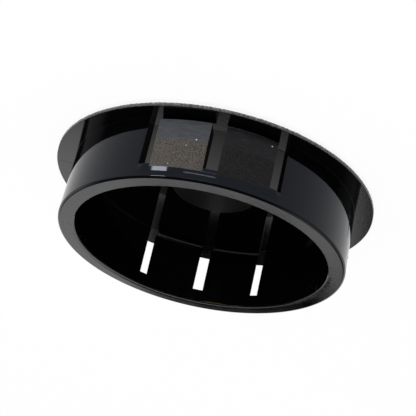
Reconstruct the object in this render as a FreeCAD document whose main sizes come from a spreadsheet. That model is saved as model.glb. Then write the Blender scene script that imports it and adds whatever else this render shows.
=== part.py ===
import FreeCAD, Part
import Sketcher
import os

# Snap-in plug that closes a round hole in a panel, moulded as one piece.
# The frame has its origin at the centre of the cap's outer face, with +Z along
# the axis from the cap to the open end of the skirt. Two windows face +Y and -Y,
# each with two locking tongues that hang from the closed ring at the open end
# and end in the air just short of the flange, where the panel's edge is gripped.

doc = FreeCAD.newDocument("HolePlug")

# Driving sizes in millimetres and degrees
sizes = doc.addObject("Spreadsheet::Sheet", "Sizes")
driving = [
    ("skirt_root_diameter", 50.3, "skirt where it meets the flange"),
    ("skirt_spread", 0.35, "open end beyond the skirt's root, along the radius"),
    ("skirt_height", 11.7, "panel seat to open end"),
    ("wall_thickness", 3.01, "wall of the skirt at the open end"),
    ("bore_draft", 0.5, "degrees of draft inside the skirt"),
    ("flange_overlap", 3.35, "flange beyond the skirt's root, along the radius"),
    ("cap_thickness", 1.3, "outer face to panel seat"),
    ("flange_edge", 0.6, "height of the flange's upright edge"),
    ("cap_bevel_width", 2.4, "bevel round the cap's outer face"),
    ("end_round", 0.43, "rounded outer corner of the open end"),
    ("bore_bevel", 0.12, "inner corner of the open end"),
    ("seat_radius", 0.12, "fillet between skirt and panel seat"),
    ("floor_radius", 0.15, "fillet between bore and cap"),
    ("pad_diameter", 14.6, "round pad in the middle of the cap, inside"),
    ("pad_rise", 0.1, "pad above the cap's inner face"),
    ("ring_height", 2.42, "closed ring that carries the tongues"),
    ("tongue_pair_width", 19.7, "over the outer edges of two tongues"),
    ("tongue_gap", 1.07, "panel seat to the tongues' free ends"),
    ("free_end_stand", 1.04, "free end beyond the skirt's root, along the radius"),
    ("break_stand", 1.25, "edge between land and ramp beyond the skirt's root"),
    ("break_height", 4.99, "panel seat to the edge between land and ramp"),
    ("ramp_overlap", 0.5, "how far the ramp runs on to the ring, past the slots' ends"),
    ("foot_stand", 0.2, "ramp's foot beyond the ring, along the radius"),
    ("foot_blend", 0.9, "polished slope from the ramp's foot down to the ring"),
    ("middle_slot_width", 1.83, "middle slot at the bore"),
    ("middle_slot_flare", 5.0, "degrees that each of its faces opens outwards"),
    ("side_slot_width", 1.19, "side slot at the bore"),
    ("side_slot_flare", 12.5, "degrees that its outer face opens outwards"),
    ("tongue_edge_round", 0.2, "outer corner of the tongues' free ends"),
]
# Sizes that follow from the driving ones
derived = [
    ("root_radius", "=skirt_root_diameter / 2"),
    ("end_radius", "=root_radius + skirt_spread"),
    ("flange_radius", "=root_radius + flange_overlap"),
    ("cap_face_radius", "=flange_radius - cap_bevel_width"),
    ("bevel_top", "=cap_thickness - flange_edge"),
    ("total_height", "=cap_thickness + skirt_height"),
    ("bore_end_radius", "=end_radius - wall_thickness"),
    ("bore_bevel_radius", "=bore_end_radius + bore_bevel"),
    ("bore_bevel_level", "=total_height - bore_bevel"),
    ("bore_root_radius", "=bore_end_radius - skirt_height * tan(bore_draft * 1deg)"),
    ("slot_height", "=skirt_height - ring_height"),
    ("slot_end", "=cap_thickness + slot_height"),
    ("foot_level", "=slot_end + ramp_overlap"),
    ("foot_radius", "=root_radius + skirt_spread * (foot_level - cap_thickness) / skirt_height + foot_stand"),
    ("blend_level", "=foot_level + foot_blend"),
    ("blend_radius", "=root_radius + skirt_spread * (blend_level - cap_thickness) / skirt_height"),
    ("wall_middle", "=(root_radius + bore_root_radius) / 2"),
    ("free_end", "=cap_thickness + tongue_gap"),
    ("free_end_radius", "=root_radius + free_end_stand"),
    ("break_radius", "=root_radius + break_stand"),
    ("break_level", "=cap_thickness + break_height"),
    ("tongue_half", "=tongue_pair_width / 2"),
    ("side_slot_x", "=tongue_half + side_slot_width"),
    ("side_slot_y", "=sqrt(bore_root_radius ^ 2 - side_slot_x ^ 2)"),
    ("cut_start", "=side_slot_y - 2"),
    ("cut_end", "=break_radius + 1"),
    ("side_start_x", "=side_slot_x - (side_slot_y - cut_start) * tan(side_slot_flare * 1deg)"),
    ("side_end_x", "=side_slot_x + (cut_end - side_slot_y) * tan(side_slot_flare * 1deg)"),
    ("middle_start_x", "=middle_slot_width / 2 - (bore_root_radius - cut_start) * tan(middle_slot_flare * 1deg)"),
    ("middle_end_x", "=middle_slot_width / 2 + (cut_end - bore_root_radius) * tan(middle_slot_flare * 1deg)"),
    ("relief_half", "=tongue_half + side_slot_width / 2"),
    ("face_run", "=sqrt(break_radius ^ 2 - side_slot_x ^ 2) - side_slot_y"),
    ("sweep_x", "=side_slot_x - 0.15 * side_slot_width + 0.85 * face_run * tan(side_slot_flare * 1deg)"),
    ("tongue_sweep", "=2 * asin(sweep_x / break_radius) / 1deg"),
]
row = 1
for alias, value, meaning in driving:
    sizes.set("A%d" % row, alias)
    sizes.set("B%d" % row, str(value))
    sizes.set("C%d" % row, meaning)
    sizes.setAlias("B%d" % row, alias)
    row += 1
for alias, formula in derived:
    sizes.set("A%d" % row, alias)
    sizes.set("B%d" % row, formula)
    sizes.setAlias("B%d" % row, alias)
    row += 1
doc.recompute()


def size(alias):
    value = getattr(sizes, alias)
    return float(getattr(value, "Value", value))


def origin_plane(body, role):
    for feature in body.Origin.OriginFeatures:
        if feature.Role == role:
            return feature
    raise RuntimeError("no origin plane " + role)


def new_sketch(body, name, role, level=None):
    sketch = body.newObject("Sketcher::SketchObject", name)
    sketch.AttachmentSupport = [(origin_plane(body, role), "")]
    sketch.MapMode = "FlatFace"
    if level:
        sketch.setExpression("AttachmentOffset.Base.z", "Sizes." + level)
    return sketch


# A closed outline through points that are each a pair of the sheet's names,
# or "0" on an axis of the sketch. Returns the index of its first line.
def outline(sketch, points):
    values = [(0.0 if u == "0" else size(u), 0.0 if v == "0" else size(v)) for u, v in points]
    count = len(points)
    first = sketch.GeometryCount
    for i in range(count):
        start = FreeCAD.Vector(values[i][0], values[i][1], 0)
        end = FreeCAD.Vector(values[(i + 1) % count][0], values[(i + 1) % count][1], 0)
        sketch.addGeometry(Part.LineSegment(start, end), False)
    for i in range(count):
        following = first + (i + 1) % count
        sketch.addConstraint(Sketcher.Constraint("Coincident", first + i, 2, following, 1))
    for i, (u, v) in enumerate(points):
        place = first + i
        if u == "0":
            sketch.addConstraint(Sketcher.Constraint("PointOnObject", place, 1, -2))
        else:
            index = sketch.addConstraint(Sketcher.Constraint("DistanceX", place, 1, values[i][0]))
            sketch.setExpression("Constraints[%d]" % index, "Sizes." + u)
        if v == "0":
            sketch.addConstraint(Sketcher.Constraint("PointOnObject", place, 1, -1))
        else:
            index = sketch.addConstraint(Sketcher.Constraint("DistanceY", place, 1, values[i][1]))
            sketch.setExpression("Constraints[%d]" % index, "Sizes." + v)
    return first


# The mirror image of an outline across the sketch's upright axis
def mirrored_outline(sketch, first, count):
    lines = [sketch.Geometry[first + i] for i in range(count)]
    copy = sketch.GeometryCount
    for line in lines:
        start = FreeCAD.Vector(-line.StartPoint.x, line.StartPoint.y, 0)
        end = FreeCAD.Vector(-line.EndPoint.x, line.EndPoint.y, 0)
        sketch.addGeometry(Part.LineSegment(start, end), False)
    for i in range(count):
        following = copy + (i + 1) % count
        sketch.addConstraint(Sketcher.Constraint("Coincident", copy + i, 2, following, 1))
        sketch.addConstraint(Sketcher.Constraint("Symmetric", first + i, 1, copy + i, 1, -2))


# Names of a feature's round edges that have a given radius and height
def round_edges(feature, radius, height):
    names = []
    for index, edge in enumerate(feature.Shape.Edges):
        if not isinstance(edge.Curve, Part.Circle):
            continue
        if abs(edge.Curve.Radius - radius) > 0.001:
            continue
        if abs(edge.BoundBox.ZMin - height) < 0.001 and abs(edge.BoundBox.ZMax - height) < 0.001:
            names.append("Edge%d" % (index + 1))
    return names


def volume_after(feature):
    doc.recompute()
    return feature.Shape.Volume


plug = doc.addObject("PartDesign::Body", "HolePlugBody")
plug.Label = "hole_plug"

# Cap, flange and skirt as one turned form
profile = new_sketch(plug, "SectionSketch", "XZ_Plane")
outline(profile, [
    ("0", "0"),
    ("cap_face_radius", "0"),
    ("flange_radius", "bevel_top"),
    ("flange_radius", "cap_thickness"),
    ("root_radius", "cap_thickness"),
    ("end_radius", "total_height"),
    ("bore_bevel_radius", "total_height"),
    ("bore_end_radius", "bore_bevel_level"),
    ("bore_root_radius", "cap_thickness"),
    ("0", "cap_thickness"),
])
turned = plug.newObject("PartDesign::Revolution", "TurnedForm")
turned.Profile = profile
turned.ReferenceAxis = (profile, ["V_Axis"])
turned.Angle = 360
doc.recompute()

# Rounded outer corner of the open end, which leads the plug into its hole
end_fillet = plug.newObject("PartDesign::Fillet", "EndRound")
end_fillet.Base = (turned, round_edges(turned, size("end_radius"), size("total_height")))
end_fillet.setExpression("Radius", "Sizes.end_round")
doc.recompute()

# Fillets where the skirt meets the panel seat and where the bore meets the cap
seat_fillet = plug.newObject("PartDesign::Fillet", "SeatFillet")
seat_fillet.Base = (end_fillet, round_edges(end_fillet, size("root_radius"), size("cap_thickness")))
seat_fillet.setExpression("Radius", "Sizes.seat_radius")
doc.recompute()
floor_fillet = plug.newObject("PartDesign::Fillet", "FloorFillet")
floor_fillet.Base = (seat_fillet, round_edges(seat_fillet, size("bore_root_radius"), size("cap_thickness")))
floor_fillet.setExpression("Radius", "Sizes.floor_radius")
bare_volume = volume_after(floor_fillet)

# Low round pad in the middle of the cap's inner face
pad_sketch = new_sketch(plug, "PadSketch", "XY_Plane", "cap_thickness")
middle_point = FreeCAD.Vector(0, 0, 0)
pad_sketch.addGeometry(Part.Circle(middle_point, FreeCAD.Vector(0, 0, 1), size("pad_diameter") / 2), False)
pad_sketch.addConstraint(Sketcher.Constraint("Coincident", 0, 3, -1, 1))
index = pad_sketch.addConstraint(Sketcher.Constraint("Diameter", 0, size("pad_diameter")))
pad_sketch.setExpression("Constraints[%d]" % index, "Sizes.pad_diameter")
centre_pad = plug.newObject("PartDesign::Pad", "CentrePad")
centre_pad.Profile = pad_sketch
centre_pad.setExpression("Length", "Sizes.pad_rise")
plain_volume = volume_after(centre_pad)
if plain_volume <= bare_volume:
    raise RuntimeError("the centre pad added nothing")

# Locking bulge: a short polished slope on the ring, a ramp that rises from it
# past the ends of the slots, then a nearly upright land.
bulge_sketch = new_sketch(plug, "BulgeSketch", "YZ_Plane")
outline(bulge_sketch, [
    ("wall_middle", "free_end"),
    ("free_end_radius", "free_end"),
    ("break_radius", "break_level"),
    ("foot_radius", "foot_level"),
    ("blend_radius", "blend_level"),
    ("wall_middle", "blend_level"),
])
bulge = plug.newObject("PartDesign::Revolution", "TongueBulge")
bulge.Profile = bulge_sketch
bulge.ReferenceAxis = (bulge_sketch, ["V_Axis"])
bulge.Midplane = True
bulge.setExpression("Angle", "Sizes.tongue_sweep")
bulge_volume = volume_after(bulge)
if bulge_volume <= plain_volume:
    raise RuntimeError("the locking bulge added nothing")

# One window: two side slots and a middle slot, from the panel seat to the ring.
# Their faces open outwards, because they are formed by slides drawn along Y.
slot_sketch = new_sketch(plug, "SlotSketch", "XY_Plane", "cap_thickness")
side_first = outline(slot_sketch, [
    ("tongue_half", "cut_start"),
    ("side_start_x", "cut_start"),
    ("side_end_x", "cut_end"),
    ("tongue_half", "cut_end"),
])
mirrored_outline(slot_sketch, side_first, 4)
doc.recompute()
middle = slot_sketch.GeometryCount
half_start = size("middle_start_x")
half_end = size("middle_end_x")
low = size("cut_start")
high = size("cut_end")
corners = [(-half_start, low), (half_start, low), (half_end, high), (-half_end, high)]
for i in range(4):
    start = FreeCAD.Vector(corners[i][0], corners[i][1], 0)
    end = FreeCAD.Vector(corners[(i + 1) % 4][0], corners[(i + 1) % 4][1], 0)
    slot_sketch.addGeometry(Part.LineSegment(start, end), False)
for i in range(4):
    following = middle + (i + 1) % 4
    slot_sketch.addConstraint(Sketcher.Constraint("Coincident", middle + i, 2, following, 1))
slot_sketch.addConstraint(Sketcher.Constraint("Symmetric", middle, 1, middle, 2, -2))
slot_sketch.addConstraint(Sketcher.Constraint("Symmetric", middle + 2, 1, middle + 2, 2, -2))
for place, across, along in ((middle + 1, "middle_start_x", "cut_start"), (middle + 2, "middle_end_x", "cut_end")):
    index = slot_sketch.addConstraint(Sketcher.Constraint("DistanceX", place, 1, size(across)))
    slot_sketch.setExpression("Constraints[%d]" % index, "Sizes." + across)
    index = slot_sketch.addConstraint(Sketcher.Constraint("DistanceY", place, 1, size(along)))
    slot_sketch.setExpression("Constraints[%d]" % index, "Sizes." + along)
slots = plug.newObject("PartDesign::Pocket", "WindowSlots")
slots.Profile = slot_sketch
slots.Reversed = True
slots.setExpression("Length", "Sizes.slot_height")
slot_volume = volume_after(slots)
if slot_volume >= bulge_volume:
    raise RuntimeError("the slots cut nothing")

# Gap under the free ends of the two tongues, where the panel's edge sits
gap_sketch = new_sketch(plug, "GapSketch", "XY_Plane", "cap_thickness")
gap_values = [("relief_half", "cut_start"), ("relief_half", "cut_end")]
reach = size("relief_half")
corners = [(-reach, low), (reach, low), (reach, high), (-reach, high)]
for i in range(4):
    start = FreeCAD.Vector(corners[i][0], corners[i][1], 0)
    end = FreeCAD.Vector(corners[(i + 1) % 4][0], corners[(i + 1) % 4][1], 0)
    gap_sketch.addGeometry(Part.LineSegment(start, end), False)
for i in range(4):
    gap_sketch.addConstraint(Sketcher.Constraint("Coincident", i, 2, (i + 1) % 4, 1))
gap_sketch.addConstraint(Sketcher.Constraint("Symmetric", 0, 1, 0, 2, -2))
gap_sketch.addConstraint(Sketcher.Constraint("Symmetric", 2, 1, 2, 2, -2))
for place, (across, along) in zip((1, 2), gap_values):
    index = gap_sketch.addConstraint(Sketcher.Constraint("DistanceX", place, 1, size(across)))
    gap_sketch.setExpression("Constraints[%d]" % index, "Sizes." + across)
    index = gap_sketch.addConstraint(Sketcher.Constraint("DistanceY", place, 1, size(along)))
    gap_sketch.setExpression("Constraints[%d]" % index, "Sizes." + along)
gap = plug.newObject("PartDesign::Pocket", "PanelGap")
gap.Profile = gap_sketch
gap.Reversed = True
gap.setExpression("Length", "Sizes.tongue_gap")
gap_volume = volume_after(gap)
if gap_volume >= slot_volume:
    raise RuntimeError("the gap cut nothing")

# The same window on the opposite side
windows = plug.newObject("PartDesign::PolarPattern", "OppositeWindow")
windows.Originals = [bulge, slots, gap]
for feature in plug.Origin.OriginFeatures:
    if feature.Role == "Z_Axis":
        windows.Axis = (feature, [""])
windows.Angle = 360
windows.Occurrences = 2
plug.Tip = windows
window_volume = volume_after(windows)
one_window = plain_volume - gap_volume
if abs((plain_volume - window_volume) - 2 * one_window) > 0.02 * abs(one_window):
    raise RuntimeError("the opposite window differs from the first")

# Rounded outer corners of the four free ends
free_edges = round_edges(windows, size("free_end_radius"), size("free_end"))
if len(free_edges) != 4:
    raise RuntimeError("expected four free ends, found %d" % len(free_edges))
tips = plug.newObject("PartDesign::Fillet", "TongueTips")
tips.Base = (windows, free_edges)
tips.setExpression("Radius", "Sizes.tongue_edge_round")
plug.Tip = tips
doc.recompute()

# Nothing is written unless every feature is sound
for item in doc.Objects:
    if "Invalid" in item.State or "Error" in item.State:
        raise RuntimeError("%s is in state %s" % (item.Name, item.State))
for sketch in (profile, pad_sketch, bulge_sketch, slot_sketch, gap_sketch):
    if sketch.solve() != 0:
        raise RuntimeError("%s does not solve" % sketch.Name)
if plug.Shape.isNull() or not plug.Shape.isValid() or len(plug.Shape.Solids) != 1:
    raise RuntimeError("hole_plug is not one sound solid")

os.makedirs("parts", exist_ok=True)
plug.Shape.exportStep("parts/hole_plug.step")
box = plug.Shape.BoundBox
print("hole_plug volume %.1f mm3" % plug.Shape.Volume)
print("hole_plug box %.3f x %.3f x %.3f mm" % (box.XLength, box.YLength, box.ZLength))
print("hole_plug faces %d" % len(plug.Shape.Faces))
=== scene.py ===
import math
import random
import bmesh
import bpy
from mathutils import Matrix, Vector


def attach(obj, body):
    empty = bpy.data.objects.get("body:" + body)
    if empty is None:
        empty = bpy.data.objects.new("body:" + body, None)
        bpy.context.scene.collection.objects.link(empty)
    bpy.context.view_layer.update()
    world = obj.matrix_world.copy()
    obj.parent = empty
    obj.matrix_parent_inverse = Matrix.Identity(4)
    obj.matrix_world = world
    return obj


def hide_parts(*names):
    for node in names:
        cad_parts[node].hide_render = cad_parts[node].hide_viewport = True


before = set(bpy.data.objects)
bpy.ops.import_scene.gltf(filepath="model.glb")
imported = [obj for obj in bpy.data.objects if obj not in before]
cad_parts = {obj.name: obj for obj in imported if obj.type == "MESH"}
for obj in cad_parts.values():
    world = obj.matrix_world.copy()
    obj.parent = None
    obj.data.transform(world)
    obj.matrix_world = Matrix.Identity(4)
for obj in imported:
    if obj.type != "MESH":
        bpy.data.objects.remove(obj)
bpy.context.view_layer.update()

mm = 0.001

# Everything a user would change on the plug itself, in millimetres
plugValues = {
    "rimRadius": 28.44,
    "capFaceRadius": 26.1,
    "bevelTop": 0.7,
    "seatLevel": 1.3,
    "rootRadius": 25.15,
    "endRadius": 25.5,
    "boreRootRadius": 22.39,
    "boreEndRadius": 22.49,
    "topLevel": 12.98,
    "endRound": 0.43,
    "boreBevel": 0.12,
    "seatFillet": 0.03,
    "floorFillet": 0.03,
    "slotTop": 10.58,
    "footLevel": 11.08,
    "footStand": 0.28,
    "blendLevel": 11.98,
    "freeLevel": 2.37,
    "freeRadius": 26.19,
    "breakRadius": 26.4,
    "breakLevel": 6.29,
    "tongueHalf": 9.85,
    "sideSlotWidth": 1.19,
    "sideFlare": 12.5,
    "middleHalf": 0.915,
    "middleFlare": 5.0,
    "edgeRound": 0.045,
    "padRadius": 7.3,
    "padHeight": 0.1,
    "lapRadius": 22.84,
    "lapHalf": 0.07,
    "lapDepth": 0.005,
    "lapFade": 3.5,
    "padSlope": 0.06,
    "discRadius": 0.4,
}
zoneSteps = {"middle": 3, "tongue": 24, "side": 6, "wall": 66}  # columns in a quarter turn
crossSteps = 5  # across the wall's thickness


def skirtRadius(level):
    v = plugValues
    share = (level - v["seatLevel"]) / (v["topLevel"] - v["seatLevel"])
    return v["rootRadius"] + (v["endRadius"] - v["rootRadius"]) * share


def boreRadius(level):
    v = plugValues
    share = (level - v["seatLevel"]) / (v["topLevel"] - v["seatLevel"])
    return v["boreRootRadius"] + (v["boreEndRadius"] - v["boreRootRadius"]) * share


def faceAngle(radius, startX, startY, flare):
    # plan angle from +Y where a slot face through (startX, startY) crosses a radius
    slope = math.tan(math.radians(flare))
    low, high = 0.0, math.pi / 2
    for _ in range(50):
        middle = (low + high) / 2
        x, y = radius * math.sin(middle), radius * math.cos(middle)
        if x < startX + (y - startY) * slope:
            low = middle
        else:
            high = middle
    return (low + high) / 2


def zoneAngles(radius):
    # the four borders between middle slot, tongue, side slot and wall
    v = plugValues
    radius = min(max(radius, v["boreRootRadius"] - v["floorFillet"]), v["breakRadius"] + 0.3)
    sideX = v["tongueHalf"] + v["sideSlotWidth"]
    sideY = math.sqrt(v["boreRootRadius"] ** 2 - sideX ** 2)
    return [
        0.0,
        faceAngle(radius, v["middleHalf"], v["boreRootRadius"], v["middleFlare"]),
        math.asin(v["tongueHalf"] / radius),
        faceAngle(radius, sideX, sideY, v["sideFlare"]),
        math.pi / 2,
    ]


zoneNames = ["middle", "tongue", "side", "wall"]


def zoneRow(radius, level, zones, angleRadius=None):
    # one row of points round the quarter, over the named zones
    borders = zoneAngles(radius if angleRadius is None else angleRadius)
    row = []
    for zone in zones:
        index = zoneNames.index(zone)
        steps = zoneSteps[zone]
        for i in range(steps + 1):
            if row and i == 0:
                continue
            angle = borders[index] + (borders[index + 1] - borders[index]) * i / steps
            row.append(Vector((radius * math.sin(angle), radius * math.cos(angle), level)))
    return row


def rampRadius(level):
    # the tongues' ramp, and above its foot the hollow blend into the ring
    v = plugValues
    footRadius = skirtRadius(v["footLevel"]) + v["footStand"]
    if level <= v["footLevel"]:
        slope = (v["breakRadius"] - footRadius) / (v["footLevel"] - v["breakLevel"])
        return footRadius + slope * (v["footLevel"] - level)
    share = min((level - v["footLevel"]) / (v["blendLevel"] - v["footLevel"]), 1.0)
    return skirtRadius(level) + v["footStand"] * (1 - share) ** 1.25


def footRow(level, zones):
    # a row on the ring whose stand dies away across the side slot
    outer, inner = zoneAngles(rampRadius(level)), zoneAngles(skirtRadius(level))
    row = []
    for zone in zones:
        index = zoneNames.index(zone)
        start = inner[index] if zone == "wall" else outer[index]
        end = inner[index + 1] if zone in ("side", "wall") else outer[index + 1]
        for i in range(zoneSteps[zone] + 1):
            if row and i == 0:
                continue
            share = i / zoneSteps[zone]
            angle = start + (end - start) * share
            fade = {"side": 1 - share ** 3, "wall": 0.0}.get(zone, 1.0)
            radius = skirtRadius(level) + (rampRadius(level) - skirtRadius(level)) * fade
            row.append(Vector((radius * math.sin(angle), radius * math.cos(angle), level)))
    return row


def roundedPath(points, radii, arcSteps=5, holdRow=0.03):
    # a polyline of (radius, level) whose corners are rounded, with a close row on the flat beside each
    path = [points[0]]
    for i in range(1, len(points) - 1):
        corner = Vector(points[i])
        before = (Vector(points[i - 1]) - corner).normalized()
        after = (Vector(points[i + 1]) - corner).normalized()
        if radii[i] <= 0:
            path.append(tuple(corner))
            continue
        half = before.angle(after) / 2
        reach = radii[i] / math.tan(half)
        start, end = corner + before * reach, corner + after * reach
        centre = corner + (before + after).normalized() * (radii[i] / math.sin(half))
        first, last = start - centre, end - centre
        turn = first.angle(last)
        if holdRow and (Vector(points[i - 1]) - start).length > 3 * holdRow:
            path.append(tuple(start + before * holdRow))
        for k in range(arcSteps + 1):
            share = k / arcSteps
            arm = (first * math.sin((1 - share) * turn) + last * math.sin(share * turn)) / math.sin(turn)
            path.append(tuple(centre + arm))
        if holdRow and (Vector(points[i + 1]) - end).length > 3 * holdRow:
            path.append(tuple(end + after * holdRow))
    path.append(points[-1])
    return path


def divided(path, longest):
    # the same path with its long stretches cut shorter
    result = [path[0]]
    for a, b in zip(path, path[1:]):
        length = math.dist(a, b)
        steps = max(1, math.ceil(length / longest))
        for k in range(1, steps + 1):
            share = k / steps
            result.append((a[0] + (b[0] - a[0]) * share, a[1] + (b[1] - a[1]) * share))
    return result


def patch(mesh, rows, finish, zoneLayer):
    # a grid of faces through rows of equal length
    verts = [[mesh.verts.new(p * mm) for p in row] for row in rows]
    for a, b in zip(verts, verts[1:]):
        for i in range(len(a) - 1):
            face = mesh.faces.new([a[i], a[i + 1], b[i + 1], b[i]])
            face[zoneLayer] = finish


finishes = {"gloss": 0, "ramp": 1, "rim": 2, "land": 3, "pad": 4, "floor": 5, "skirt": 6}


def quarterMesh():
    # one quarter of the plug, round from +Y to +X
    v = plugValues
    mesh = bmesh.new()
    zoneLayer = mesh.faces.layers.int.new("finishZone")
    seatEdge = v["rootRadius"] + v["seatFillet"]
    floorEdge = v["boreRootRadius"] - v["floorFillet"]
    allZones = zoneNames

    # outer face, bevel, upright edge and seat
    path = roundedPath(
        [(v["discRadius"], 0), (v["capFaceRadius"], 0), (v["rimRadius"], v["bevelTop"]),
         (v["rimRadius"], v["seatLevel"]), (seatEdge, v["seatLevel"])],
        [0, 0.5, 0.07, 0.06, 0])
    path = divided(path, 3.0)
    for a, b in zip(path, path[1:]):
        isRim = min(a[0], b[0]) > v["rimRadius"] - 0.03
        rows = [zoneRow(a[0], a[1], allZones, seatEdge), zoneRow(b[0], b[1], allZones, seatEdge)]
        patch(mesh, rows, finishes["rim" if isRim else "gloss"], zoneLayer)

    # closed ring: up the skirt, over the open end, down the bore; the ramps' foot stands out in the window
    footSteps = [v["slotTop"], (v["slotTop"] + v["footLevel"]) / 2, v["footLevel"]]
    blendSteps = [v["footLevel"] + (v["blendLevel"] - v["footLevel"]) * k / 8 for k in range(9)]
    for zone in allZones:
        finish = finishes["ramp" if zone == "tongue" else "skirt"]
        patch(mesh, [footRow(z, [zone]) for z in footSteps], finish, zoneLayer)
    patch(mesh, [footRow(z, allZones) for z in blendSteps], finishes["skirt"], zoneLayer)
    ring = roundedPath(
        [(skirtRadius(v["blendLevel"]), v["blendLevel"]),
         (v["endRadius"], v["topLevel"]),
         (v["lapRadius"] + v["lapHalf"], v["topLevel"]),
         (v["lapRadius"], v["topLevel"]),
         (v["lapRadius"] - v["lapHalf"], v["topLevel"]),
         (v["boreEndRadius"] + v["boreBevel"], v["topLevel"]),
         (v["boreEndRadius"], v["topLevel"] - v["boreBevel"]),
         (boreRadius(v["slotTop"]), v["slotTop"])],
        [0, v["endRound"], 0, 0, 0, 0.06, 0.06, 0], arcSteps=8)
    ring = divided(ring, 0.8)
    cornerRow = next(i for i, point in enumerate(ring) if point[0] < v["endRadius"] - 0.13)
    patch(mesh, [zoneRow(r, z, allZones) for r, z in ring[:cornerRow + 1]], finishes["skirt"], zoneLayer)
    patch(mesh, [zoneRow(r, z, allZones) for r, z in ring[cornerRow:]], finishes["gloss"], zoneLayer)

    # skirt and bore of the plain wall, with equal rows so that its end face is a grid
    outerArc = roundedPath(
        [(seatEdge, v["seatLevel"]), (v["rootRadius"], v["seatLevel"]),
         (skirtRadius(v["slotTop"]), v["slotTop"])],
        [0, v["seatFillet"] * 0.98, 0])[1:]
    innerArc = roundedPath(
        [(floorEdge, v["seatLevel"]), (v["boreRootRadius"], v["seatLevel"]),
         (boreRadius(v["slotTop"]), v["slotTop"])],
        [0, v["floorFillet"] * 0.98, 0])[1:]
    outerArc[0] = (seatEdge, v["seatLevel"])
    innerArc[0] = (floorEdge, v["seatLevel"])
    wallSteps = 12
    outer, inner = list(outerArc[:-1]), list(innerArc[:-1])
    for k in range(1, wallSteps + 1):
        share = k / wallSteps
        for part, arc in ((outer, outerArc), (inner, innerArc)):
            a, b = arc[-2], arc[-1]
            part.append((a[0] + (b[0] - a[0]) * share, a[1] + (b[1] - a[1]) * share))
    patch(mesh, [zoneRow(r, z, ["wall"]) for r, z in outer], finishes["skirt"], zoneLayer)
    patch(mesh, [zoneRow(r, z, ["wall"]) for r, z in inner], finishes["gloss"], zoneLayer)

    # floor of the hollow, with the round pad in its middle
    pad, rise = v["padRadius"], v["seatLevel"] + v["padHeight"]
    padFoot = pad + v["padSlope"]
    floorPath = roundedPath(
        [(floorEdge, v["seatLevel"]), (padFoot, v["seatLevel"]), (pad, rise), (v["discRadius"], rise)],
        [0, 0.03, 0.03, 0], holdRow=0.02)
    padStart = next(i for i, point in enumerate(floorPath) if point[0] <= padFoot)
    plain, raised = divided(floorPath[:padStart + 1], 3.0), divided(floorPath[padStart:], 1.5)
    patch(mesh, [zoneRow(r, z, allZones, floorEdge) for r, z in plain], finishes["floor"], zoneLayer)
    patch(mesh, [zoneRow(r, z, allZones, floorEdge) for r, z in raised], finishes["pad"], zoneLayer)

    # floor and roof of the slots, and the seat under the tongue
    for zone in ("middle", "tongue", "side"):
        steps = [seatEdge, 24.6, 23.9, 23.2, floorEdge]
        rows = [zoneRow(radius, v["seatLevel"], [zone]) for radius in steps]
        patch(mesh, rows, finishes["gloss"], zoneLayer)
    for zone in ("middle", "side"):
        middle, last = skirtRadius(v["slotTop"]), boreRadius(v["slotTop"])
        radii = [middle + (last - middle) * k / crossSteps for k in range(crossSteps + 1)]
        rows = [footRow(v["slotTop"], [zone])] + [zoneRow(radius, v["slotTop"], [zone]) for radius in radii]
        patch(mesh, rows, finishes["gloss"], zoneLayer)

    # tongue: ramp, land and free end outside, bore inside
    tongue = roundedPath(
        [(rampRadius(v["slotTop"]), v["slotTop"]), (v["breakRadius"], v["breakLevel"]),
         (v["freeRadius"], v["freeLevel"]), (v["freeRadius"] - 1.0, v["freeLevel"])],
        [0, 0.3, 0.2, 0], holdRow=0)
    tongue = divided(tongue[:-1], 0.6)
    breakRow = max(range(len(tongue)), key=lambda i: tongue[i][0])
    patch(mesh, [zoneRow(r, z, ["tongue"]) for r, z in tongue[:breakRow + 1]], finishes["ramp"], zoneLayer)
    patch(mesh, [zoneRow(r, z, ["tongue"]) for r, z in tongue[breakRow:]], finishes["land"], zoneLayer)
    boreSide = [(boreRadius(z), z) for r, z in tongue]
    patch(mesh, [zoneRow(r, z, ["tongue"]) for r, z in boreSide], finishes["gloss"], zoneLayer)

    def crossRow(outerRadius, innerRadius, level, zone, column):
        # points across a slot face, with one at the skirt's own radius
        middle = skirtRadius(level)
        radii = [middle + (innerRadius - middle) * k / crossSteps for k in range(crossSteps + 1)]
        if outerRadius > middle + 0.001:
            radii.insert(0, outerRadius)
        return [zoneRow(radius, level, [zone])[column] for radius in radii]

    # the free end's face and both sides of the tongue
    middle = skirtRadius(v["freeLevel"])
    radii = [middle + (boreSide[-1][0] - middle) * k / crossSteps for k in range(crossSteps + 1)]
    radii.insert(0, tongue[-1][0])
    rows = [zoneRow(radius, v["freeLevel"], ["tongue"]) for radius in radii]
    patch(mesh, rows, finishes["gloss"], zoneLayer)
    for column in (0, -1):
        rows = [crossRow(r1, r2, z, "tongue", column) for (r1, z), (r2, z2) in zip(tongue, boreSide)]
        patch(mesh, rows, finishes["gloss"], zoneLayer)

    # the wall's end face in the side slot
    rows = []
    for (r1, z1), (r2, z2) in zip(outer, inner):
        row = []
        for k in range(crossSteps + 1):
            share = k / crossSteps
            row.append(zoneRow(r1 + (r2 - r1) * share, z1 + (z2 - z1) * share, ["wall"])[0])
        rows.append(row)
    lowest = [zoneRow(radius, v["seatLevel"], ["wall"])[0] for radius in steps]
    patch(mesh, rows[1:], finishes["gloss"], zoneLayer)
    first = [mesh.verts.new(point * mm) for point in lowest]
    second = [mesh.verts.new(point * mm) for point in rows[1]]
    mesh.faces.new(first + second[::-1])[zoneLayer] = finishes["gloss"]

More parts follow.
